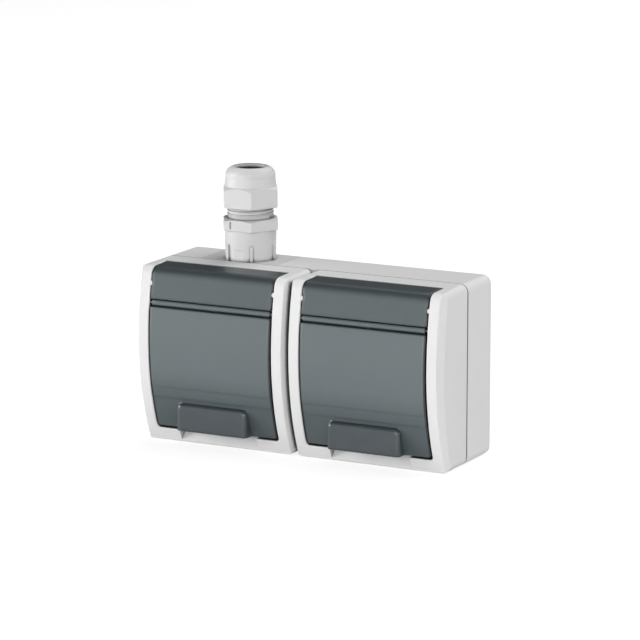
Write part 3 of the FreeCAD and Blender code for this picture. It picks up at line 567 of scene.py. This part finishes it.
lip = spun_ring("cable_seal_lip", lip_outline, gland_x, gland_y, 72)
lip.data.materials.append(rubber)
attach(lip, "housing")
print("lip from", round(lip_low, 4), "to", round(lip_high, 4), "faces:", len(lip.data.polygons))

# %% [markdown]
# The floor is plain and pale. It throws soft light back up at the object, and to the camera it
# looks white, with only a light shadow where the object stands.

# %% Floor
def pale_floor():
    finish = Finish("pale_floor", roughness=0.9, specular=0.0)
    finish.colour((0.82, 0.82, 0.82, 1.0))
    seen = finish.node("ShaderNodeBsdfDiffuse", {}, {"Color": (0.30, 0.30, 0.30, 1.0)})
    glow = finish.node("ShaderNodeEmission", {}, {"Color": (1.0, 1.0, 1.0, 1.0), "Strength": 0.82})
    both = finish.node("ShaderNodeAddShader", {}, [seen.out("BSDF"), glow.out("Emission")])
    to_camera = finish.node("ShaderNodeLightPath").out("Is Camera Ray")
    plain = Value(finish, finish.shader.outputs["BSDF"])
    mixed = finish.node("ShaderNodeMixShader", {}, [to_camera, plain, both.out("Shader")])
    finish.feed(finish.output.inputs["Surface"], mixed.out("Shader"))
    return finish.material


floor_size = 16.0
floor_gap = 0.00005
start_fresh()
bpy.ops.mesh.primitive_plane_add(size=floor_size, location=(0, 0, cad_box[0].z - floor_gap))
floor = bpy.context.object
floor.name = "floor"
floor.data.materials.append(pale_floor())
print("floor at", round(floor.location.z, 5))

# %% [markdown]
# Soft studio light: four lamps stand in a low arc from left to right and light the front and both
# sides. None of them stands where the flat of a lid would mirror it straight into the camera. A
# broad one behind and above lights the top.

# %% Lamps
lamp_distance = 2.0


def soft_lamp(name, around, above, size, power):
    """A square lamp that looks at the object from so many degrees round and above."""
    start_fresh()
    turn = math.radians(around)
    rise = math.radians(above)
    flat = math.cos(rise)
    out = Vector((math.sin(turn) * flat, -math.cos(turn) * flat, math.sin(rise)))
    bpy.ops.object.light_add(type="AREA", location=look_at + out * lamp_distance)
    lamp = bpy.context.object
    lamp.name = name
    lamp.data.size = size
    lamp.data.energy = power
    lamp.rotation_mode = "QUATERNION"
    lamp.rotation_quaternion = (-out).to_track_quat("-Z", "Y")
    return lamp


lamps = [
    soft_lamp("left_lamp", -62, 9, 0.8, 28.0),
    soft_lamp("front_lamp", 8, 9, 0.8, 20.0),
    soft_lamp("right_lamp", 50, 12, 0.9, 3.0),
    soft_lamp("side_lamp", 80, 15, 1.0, 8.0),
    soft_lamp("back_lamp", 150, 60, 2.4, 44.0),
]
print("lamps:", [lamp.name for lamp in lamps])

# %% [markdown]
# The room adds a little light of its own, more of it low down than overhead. The camera sees the
# room as plain white.

# %% World
wall_strength = 0.05
world = bpy.data.worlds.new("studio")
bpy.context.scene.world = world
world.use_nodes = True
sky = world.node_tree
sky.nodes.clear()
sky_output = sky.nodes.new("ShaderNodeOutputWorld")
direction = sky.nodes.new("ShaderNodeTexCoord")
parts = sky.nodes.new("ShaderNodeSeparateXYZ")
ramp = sky.nodes.new("ShaderNodeValToRGB")
walls = sky.nodes.new("ShaderNodeBackground")
white = sky.nodes.new("ShaderNodeBackground")
rays = sky.nodes.new("ShaderNodeLightPath")
choose = sky.nodes.new("ShaderNodeMixShader")
ramp.color_ramp.elements[0].position = 0.35
ramp.color_ramp.elements[0].color = (0.95, 0.95, 0.95, 1.0)
ramp.color_ramp.elements[1].position = 0.95
ramp.color_ramp.elements[1].color = (0.22, 0.22, 0.22, 1.0)
walls.inputs["Strength"].default_value = wall_strength
white.inputs["Strength"].default_value = 1.0
sky.links.new(direction.outputs["Generated"], parts.inputs["Vector"])
sky.links.new(parts.outputs["Z"], ramp.inputs["Fac"])
sky.links.new(ramp.outputs["Color"], walls.inputs["Color"])
sky.links.new(rays.outputs["Is Camera Ray"], choose.inputs[0])
sky.links.new(walls.outputs["Background"], choose.inputs[1])
sky.links.new(white.outputs["Background"], choose.inputs[2])
sky.links.new(choose.outputs["Shader"], sky_output.inputs["Surface"])
bpy.context.scene.view_settings.view_transform = "Standard"
print("world:", world.name)
